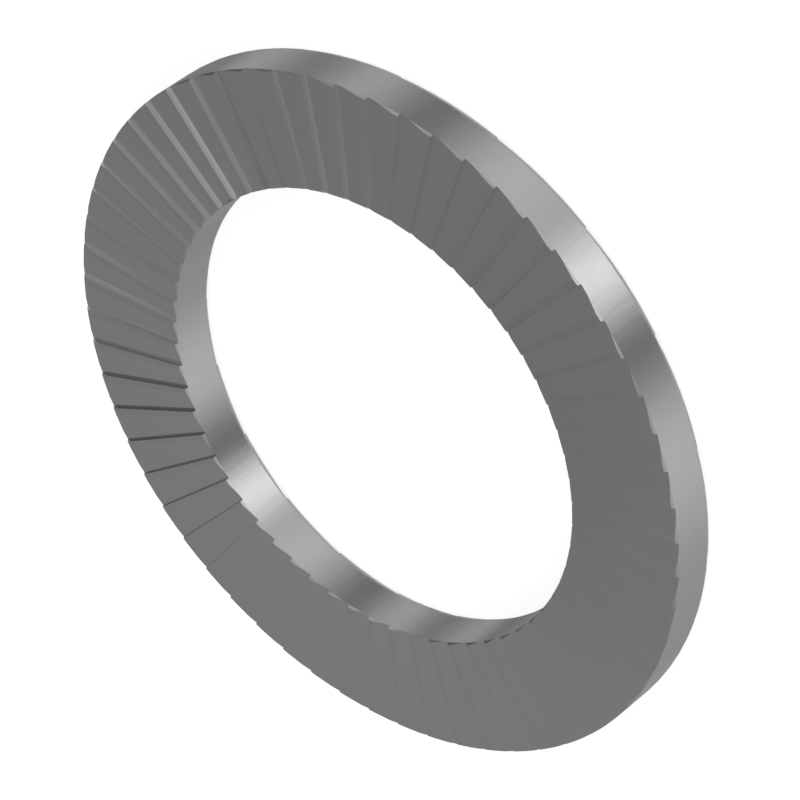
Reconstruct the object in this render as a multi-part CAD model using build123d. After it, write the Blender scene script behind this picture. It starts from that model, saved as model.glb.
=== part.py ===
from build123d import *
from math import tan, radians
import os

os.makedirs("parts", exist_ok=True)

# One half of a wedge-locking washer pair, for an M12 right-hand thread.
# It lies on its cams with the serrated face up.
# The origin is on the axis, in the plane of the cam tips.
outer_diameter = 19.5
bore_diameter = 13.0
body_thickness = 1.16  # from the tooth roots down to the cam roots

# Fine radial saw teeth on the upper face.
tooth_count = 60
tooth_height = 0.082
tooth_drop_share = 0.025  # share of one tooth that the steep flank takes
tooth_land_share = 0.20  # share of one tooth that is a flat crest
tooth_edge_chamfer = 0.052

# Wide wedge cams on the lower face.
cam_count = 20
cam_rise = 0.13
cam_drop_share = 0.012
cam_land_share = 0.035
cam_edge_radius = 0.18

outer_radius = outer_diameter / 2
bore_radius = bore_diameter / 2
cam_root_level = cam_rise
tooth_root_level = cam_root_level + body_thickness
crest_level = tooth_root_level + tooth_height


def ring_blank():
    """Plain ring, bevelled along its two upper edges and rounded along the lower."""
    width = outer_radius - bore_radius
    middle = (outer_radius + bore_radius) / 2
    profile = Pos(middle, crest_level / 2) * Rectangle(width, crest_level)
    upper = profile.vertices().sort_by(Axis.Y)[2:]
    profile = chamfer(upper, tooth_edge_chamfer)
    lower = profile.vertices().sort_by(Axis.Y)[:2]
    profile = fillet(lower, cam_edge_radius)
    return revolve(Plane.XZ * profile, Axis.Z)


def saw_gap(pitch, drop_share, land_share, root_level, tip_level):
    """Space between two saw teeth, equally deep from the bore to the rim.

    Clockwise from the steep flank the floor climbs from the root to the tip.
    """
    overshoot = 1.3
    open_level = root_level + overshoot * (tip_level - root_level)
    ramp_share = 1 - drop_share - land_share
    root_angle = -drop_share * pitch
    flank_angle = root_angle + overshoot * drop_share * pitch
    ramp_angle = root_angle - overshoot * ramp_share * pitch
    middle = -pitch / 2
    outline = [
        (root_angle, root_level),
        (flank_angle, open_level),
        (ramp_angle, open_level),
    ]
    wires = []
    for x in (0.8 * bore_radius, 1.1 * outer_radius):
        points = [(x, x * tan(radians(a - middle)), z) for a, z in outline]
        wires.append(Wire.make_polygon(points, close=True))
    return Rot(0, 0, middle) * Solid.make_loft(wires, ruled=True)


tooth_pitch = 360 / tooth_count
cam_pitch = 360 / cam_count

tooth_gap = saw_gap(
    tooth_pitch, tooth_drop_share, tooth_land_share, tooth_root_level, crest_level
)
cam_gap = saw_gap(cam_pitch, cam_drop_share, cam_land_share, cam_root_level, 0)

tooth_gaps = [Rot(0, 0, i * tooth_pitch) * tooth_gap for i in range(tooth_count)]
cam_gaps = [Rot(0, 0, i * cam_pitch) * cam_gap for i in range(cam_count)]

# The seam of the blank is turned away from the steep flanks.
washer = Rot(0, 0, -0.4 * tooth_pitch) * ring_blank()
washer = washer - tooth_gaps
washer = washer - cam_gaps

export_step(washer, "parts/locking_washer.step")
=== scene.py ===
import math

import bpy
from mathutils import Matrix, Vector


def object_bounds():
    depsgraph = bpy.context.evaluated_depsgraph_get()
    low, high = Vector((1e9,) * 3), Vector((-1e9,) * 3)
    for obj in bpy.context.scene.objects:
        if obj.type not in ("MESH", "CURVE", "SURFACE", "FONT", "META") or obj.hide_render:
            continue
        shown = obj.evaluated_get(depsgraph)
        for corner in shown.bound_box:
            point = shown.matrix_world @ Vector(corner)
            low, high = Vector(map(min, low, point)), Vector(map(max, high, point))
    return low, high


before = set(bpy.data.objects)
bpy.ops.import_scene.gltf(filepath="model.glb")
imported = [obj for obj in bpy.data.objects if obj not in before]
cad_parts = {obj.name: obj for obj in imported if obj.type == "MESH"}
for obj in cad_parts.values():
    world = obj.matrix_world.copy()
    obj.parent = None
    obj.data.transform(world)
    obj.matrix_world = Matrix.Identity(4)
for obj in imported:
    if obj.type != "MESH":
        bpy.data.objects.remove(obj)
cad_low, cad_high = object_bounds()

MM = 0.001
RADIUS = cad_high.x
TOOTH_ROOT_LEVEL = 1.29 * MM
CREST_LEVEL = cad_high.z

# Camera: where it stands round the washer, in degrees and radii, and what it
# aims at, in radii from the axis at the tooth roots.
VIEW_AZIMUTH = -75.71
VIEW_ELEVATION = 37.73
VIEW_ROLL = -126.41
VIEW_DISTANCE = 11.523
VIEW_AIM = (0.0065, -0.0575, -0.0743)
VIEW_LENS = 200.3
VIEW_SENSOR = 36
VIEW_NEAR = 0.01
VIEW_FAR = 10

# Noise patterns of the steel: features to the millimetre and levels of detail.
MOTTLING = (0.45, 3)
SMEARS = (2.2, 4)
GRAIN = (11, 3)
STREAKS = (5, 3)
STREAK_SQUEEZE = (1, 1, 0.15)

# Where the crests, bevels and walls are, by depth and by the normal's rise.
CREST_DEPTH = 0.02 * MM
BEVEL_START = (0.5, 0.6)
BEVEL_END = (0.8, 0.9)
WALL_END = (0.1, 0.3)

# The steel's colour and roughness, and what each pattern adds to them.
STEEL_COLOUR = (0.48, 0.48, 0.484)
BASE_TONE = 0.955
MOTTLING_TONE = 0.06
GRAIN_TONE = 0.03
POLISH_TONE = 0.01
# Painted shade on the bevels: their colour is made darker to stand in for a darker
# reflection.
BEVEL_PAINTED_SHADE = -0.14
STEEL_ROUGHNESS = 0.18
SMEAR_ROUGHNESS = 0.08
POLISH_ROUGHNESS = -0.04
GRAIN_HEIGHT = 0.0001 * MM
STREAK_HEIGHT = 0.0022 * MM

TABLE_REACH = 60
TABLE_COLOUR = (0.6, 0.6, 0.6)
TABLE_GLOW = 0.72
TABLE_CLEAR_SHARE = 0.8

# Soft boxes round the table and below it. Each runs from one azimuth round to
# the next, and an upper one starts at its bottom edge. Every edge is an angle
# and the width of its soft change, in degrees. The last number is the strength
# of the light.
UPPER_BOXES = [
    ("front_panel", (51, 60), (180, 58), (0, 8), 0.263),
    ("front_wash", (102, 43), (200, 40), (0, 8), 0.091),
    ("side_wash", (127, 8), (154, 33), (0, 8), 0.155),
    ("side_box", (167, 64), (225, 64), (23, 59), 0.572),
    ("side_wall", (201, 53), (30, 62), (0, 8), 0.462),
    ("strip_box", (258, 23), (281, 32), (27, 60), 0.78),
    ("key_box", (270, 18), (327, 96), (18, 49), 0.534),
    ("corner_wash", (347, 21), (15, 21), (0, 8), 0.209),
    ("corner_box", (12, 21), (43, 60), (37, 17), 0.71),
]
LOWER_BOXES = [
    ("low_side_box", (182, 86), (240, 35), 0.78),
    ("low_strip_box", (268, 28), (288, 25), 1.68),
    ("low_key_box", (289, 54), (334, 36), 0.785),
    ("low_corner_box", (0, 28), (24, 26), 0.56),
    ("low_front_box", (40, 34), (66, 18), 0.37),
    ("low_wall", (105, 98), (170, 33), 0.225),
]
# A dark card and a small lamp in front of the front panel: azimuth, elevation
# and radius in degrees, and strength. The card takes light away.
SPOTS = [
    ("front_card", 104.9, 38.55, 3, -0.2),
    ("front_lamp", 104.9, 35.85, 3, 0.13),
]
# The rest is the room's grey, a light overhead and an even light from straight
# below, with their edges as above.
ROOM_GREY = 0.03
OVERHEAD_STRENGTH = 0.33
OVERHEAD_EDGE = (70, 24)
TABLE_EDGE = (0, 8)
UNDER_STRENGTH = 0.58
UNDER_EDGE = (-50, 16)


def direction(azimuth, elevation):
    """Unit vector at an azimuth and elevation in degrees."""
    azimuth, elevation = math.radians(azimuth), math.radians(elevation)
    level = math.cos(elevation)
    return Vector(
        (level * math.cos(azimuth), level * math.sin(azimuth), math.sin(elevation))
    )


def new_tree(owner):
    """Empty node tree of a material or a world."""
    owner.use_nodes = True
    tree = owner.node_tree
    tree.nodes.clear()
    return tree


def math_node(tree, operation, *values):
    """Math node whose inputs are numbers or other nodes' outputs."""
    node = tree.nodes.new("ShaderNodeMath")
    node.operation = operation
    for socket, value in zip(node.inputs, values):
        if isinstance(value, bpy.types.NodeSocket):
            tree.links.new(value, socket)
        else:
            socket.default_value = value
    return node.outputs[0]


def vector_node(tree, operation, value, constant):
    """Vector math node that takes another node's output and a fixed vector."""
    node = tree.nodes.new("ShaderNodeVectorMath")
    node.operation = operation
    tree.links.new(value, node.inputs[0])
    node.inputs[1].default_value = constant
    return node


def smooth_step(tree, value, low, high):
    """0 below low, 1 above high, with a soft change between."""
    node = tree.nodes.new("ShaderNodeMapRange")
    node.interpolation_type = "SMOOTHSTEP"
    tree.links.new(value, node.inputs["Value"])
    node.inputs["From Min"].default_value = low
    node.inputs["From Max"].default_value = high
    return node.outputs["Result"]


def noise_node(tree, place, scale, detail):
    """Noise with the given number of features to the millimetre."""
    node = tree.nodes.new("ShaderNodeTexNoise")
    node.inputs["Scale"].default_value = scale / MM
    node.inputs["Detail"].default_value = detail
    tree.links.new(place, node.inputs["Vector"])
    return node.outputs["Fac"]


def steel_material():
    """Smooth bright steel: mottling, fine grain, drawn walls, polished crests, and painted
    shade on the bevels.
    """
    material = bpy.data.materials.new("washer_steel")
    tree = new_tree(material)
    output = tree.nodes.new("ShaderNodeOutputMaterial")
    shader = tree.nodes.new("ShaderNodeBsdfPrincipled")
    shader.inputs["Metallic"].default_value = 1.0
    tree.links.new(shader.outputs[0], output.inputs["Surface"])
    place = tree.nodes.new("ShaderNodeTexCoord").outputs["Object"]
    axes = tree.nodes.new("ShaderNodeSeparateXYZ")
    tree.links.new(place, axes.inputs[0])

    mottling = noise_node(tree, place, *MOTTLING)
    smears = noise_node(tree, place, *SMEARS)
    grain = noise_node(tree, place, *GRAIN)

    # Faint streaks run straight up the walls of the rim and the bore.
    upright = vector_node(tree, "MULTIPLY", place, STREAK_SQUEEZE)
    streaks = noise_node(tree, upright.outputs["Vector"], *STREAKS)

    # The crests of the teeth rub on the part above and are polished by it.
    crest = smooth_step(
        tree, axes.outputs["Z"], CREST_LEVEL - CREST_DEPTH, CREST_LEVEL
    )
    polish = math_node(tree, "MULTIPLY", crest, smears)

    # The bevels along the rim and the bore are painted a little darker. This is painted
    # shade that stands in for their darker reflection.
    facing = tree.nodes.new("ShaderNodeSeparateXYZ")
    normal = tree.nodes.new("ShaderNodeTexCoord").outputs["Normal"]
    tree.links.new(normal, facing.inputs[0])
    steep = smooth_step(tree, facing.outputs["Z"], *BEVEL_START)
    level = smooth_step(tree, facing.outputs["Z"], *BEVEL_END)
    painted_bevel_shade = math_node(tree, "SUBTRACT", steep, level)
    slope = math_node(tree, "ABSOLUTE", facing.outputs["Z"])
    wall = math_node(tree, "SUBTRACT", 1.0, smooth_step(tree, slope, *WALL_END))

    tone = math_node(tree, "MULTIPLY_ADD", mottling, MOTTLING_TONE, BASE_TONE)
    tone = math_node(tree, "MULTIPLY_ADD", grain, GRAIN_TONE, tone)
    tone = math_node(tree, "MULTIPLY_ADD", polish, POLISH_TONE, tone)
    # Painted shade: the bevels' colour is darkened.
    tone = math_node(tree, "MULTIPLY_ADD", painted_bevel_shade, BEVEL_PAINTED_SHADE, tone)
    colour = tree.nodes.new("ShaderNodeVectorMath")
    colour.operation = "SCALE"
    colour.inputs[0].default_value = STEEL_COLOUR
    tree.links.new(tone, colour.inputs["Scale"])
    tree.links.new(colour.outputs[0], shader.inputs["Base Color"])

    smooth = STEEL_ROUGHNESS - SMEAR_ROUGHNESS / 2
    rough = math_node(tree, "MULTIPLY_ADD", smears, SMEAR_ROUGHNESS, smooth)
    rough = math_node(tree, "MULTIPLY_ADD", polish, POLISH_ROUGHNESS, rough)
    tree.links.new(rough, shader.inputs["Roughness"])

    relief = math_node(tree, "MULTIPLY", streaks, STREAK_HEIGHT / GRAIN_HEIGHT)
    relief = math_node(tree, "MULTIPLY_ADD", relief, wall, grain)
    bump = tree.nodes.new("ShaderNodeBump")
    bump.inputs["Strength"].default_value = 1.0
    bump.inputs["Distance"].default_value = GRAIN_HEIGHT
    tree.links.new(relief, bump.inputs["Height"])
    tree.links.new(bump.outputs[0], shader.inputs["Normal"])
    return material


def floor_material():
    """Frosted glass table top, lit to pure white, with soft boxes below it.

    It is solid to the camera. The metal mirrors it, and through it the boxes.
    """
    material = bpy.data.materials.new("light_table")
    tree = new_tree(material)
    output = tree.nodes.new("ShaderNodeOutputMaterial")
    frosted = tree.nodes.new("ShaderNodeBsdfDiffuse")
    frosted.inputs["Color"].default_value = (*TABLE_COLOUR, 1)
    glow = tree.nodes.new("ShaderNodeEmission")
    path = tree.nodes.new("ShaderNodeLightPath")
    mirrored = path.outputs["Is Glossy Ray"]
    seen = math_node(tree, "MAXIMUM", path.outputs["Is Camera Ray"], mirrored)
    seen = math_node(tree, "MAXIMUM", seen, path.outputs["Is Transmission Ray"])
    strength = math_node(tree, "MULTIPLY", seen, TABLE_GLOW)
    tree.links.new(strength, glow.inputs["Strength"])
    solid = tree.nodes.new("ShaderNodeAddShader")
    tree.links.new(frosted.outputs[0], solid.inputs[0])
    tree.links.new(glow.outputs[0], solid.inputs[1])
    clear = tree.nodes.new("ShaderNodeBsdfTransparent")
    through = math_node(tree, "MAXIMUM", mirrored, path.outputs["Is Shadow Ray"])
    share = math_node(tree, "MULTIPLY", through, TABLE_CLEAR_SHARE)
    mix = tree.nodes.new("ShaderNodeMixShader")
    tree.links.new(share, mix.inputs[0])
    tree.links.new(solid.outputs[0], mix.inputs[1])
    tree.links.new(clear.outputs[0], mix.inputs[2])
    tree.links.new(mix.outputs[0], output.inputs["Surface"])
    return material


def make_floor():
    """Table top under the washer."""
    size = TABLE_REACH * RADIUS
    mesh = bpy.data.meshes.new("table")
    corners = [(-size, -size, 0), (size, -size, 0), (size, size, 0), (-size, size, 0)]
    mesh.from_pydata(corners, [], [(0, 1, 2, 3)])
    floor = bpy.data.objects.new("table", mesh)
    floor.location.z = cad_low.z
    mesh.materials.append(floor_material())
    bpy.context.scene.collection.objects.link(floor)


def make_world():
    """Studio of soft boxes in which the camera itself sees plain white."""
    world = bpy.data.worlds.new("studio")
    bpy.context.scene.world = world
    tree = new_tree(world)
    output = tree.nodes.new("ShaderNodeOutputWorld")
    background = tree.nodes.new("ShaderNodeBackground")
    background.inputs["Color"].default_value = (1, 1, 1, 1)
    where = tree.nodes.new("ShaderNodeTexCoord").outputs["Generated"]
    axes = tree.nodes.new("ShaderNodeSeparateXYZ")
    tree.links.new(where, axes.inputs[0])
    degree = math.pi / 180
    turn = math_node(tree, "ARCTAN2", axes.outputs["Y"], axes.outputs["X"])
    azimuth = math_node(tree, "DIVIDE", turn, degree)
    rise = math_node(tree, "ARCSINE", axes.outputs["Z"])
    elevation = math_node(tree, "DIVIDE", rise, degree)

    def above(edge):
        angle, soft = edge
        return smooth_step(tree, elevation, angle - soft / 2, angle + soft / 2)

    def sector(start, end):
        half = (end[0] - start[0]) % 360 / 2
        middle = math_node(tree, "SUBTRACT", azimuth, start[0] + half)
        side = math_node(tree, "WRAP", middle, 180.0, -180.0)
        rising = smooth_step(tree, side, -half - start[1] / 2, -half + start[1] / 2)
        falling = smooth_step(tree, side, half + end[1] / 2, half - end[1] / 2)
        return math_node(tree, "MULTIPLY", rising, falling)

    overhead = above(OVERHEAD_EDGE)
    around = math_node(tree, "SUBTRACT", 1.0, overhead)
    deep = above(UNDER_EDGE)
    below = math_node(tree, "SUBTRACT", deep, above(TABLE_EDGE))
    under = math_node(tree, "SUBTRACT", 1.0, deep)
    total = math_node(tree, "MULTIPLY_ADD", overhead, OVERHEAD_STRENGTH, ROOM_GREY)
    total = math_node(tree, "MULTIPLY_ADD", under, UNDER_STRENGTH, total)
    for _, start, end, bottom, strength in UPPER_BOXES:
        light = math_node(tree, "MULTIPLY", sector(start, end), above(bottom))
        light = math_node(tree, "MULTIPLY", light, around)
        total = math_node(tree, "MULTIPLY_ADD", light, strength, total)
    for _, spot_azimuth, spot_elevation, radius, strength in SPOTS:
        centre = direction(spot_azimuth, spot_elevation)
        nearness = vector_node(tree, "DOT_PRODUCT", where, centre).outputs["Value"]
        light = smooth_step(tree, nearness, math.cos(math.radians(radius)), 1.0)
        total = math_node(tree, "MULTIPLY_ADD", light, strength, total)
    for _, start, end, strength in LOWER_BOXES:
        light = math_node(tree, "MULTIPLY", sector(start, end), below)
        total = math_node(tree, "MULTIPLY_ADD", light, strength, total)
    direct = tree.nodes.new("ShaderNodeLightPath").outputs["Is Camera Ray"]
    hidden = math_node(tree, "SUBTRACT", 1.0, direct)
    shown = math_node(tree, "MULTIPLY_ADD", total, hidden, direct)
    tree.links.new(shown, background.inputs["Strength"])
    tree.links.new(background.outputs[0], output.inputs["Surface"])


def make_camera():
    """Long lens that looks down on the washer, rolled as the photograph is."""
    back = direction(VIEW_AZIMUTH, VIEW_ELEVATION)
    aim = Vector(VIEW_AIM) * RADIUS + Vector((0, 0, TOOTH_ROOT_LEVEL))
    data = bpy.data.cameras.new("camera")
    data.lens = VIEW_LENS
    data.sensor_width = VIEW_SENSOR
    data.clip_start = VIEW_NEAR
    data.clip_end = VIEW_FAR
    camera = bpy.data.objects.new("camera", data)
    level = back.to_track_quat("Z", "Y").to_matrix().to_4x4()
    roll = Matrix.Rotation(math.radians(VIEW_ROLL), 4, "Z")
    stand = Matrix.Translation(aim + back * VIEW_DISTANCE * RADIUS)
    camera.matrix_world = stand @ level @ roll
    bpy.context.scene.collection.objects.link(camera)
    bpy.context.scene.camera = camera


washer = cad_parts["locking_washer"]
washer.data.materials[0] = steel_material()

make_floor()
make_world()
make_camera()
bpy.context.scene.view_settings.view_transform = "Standard"
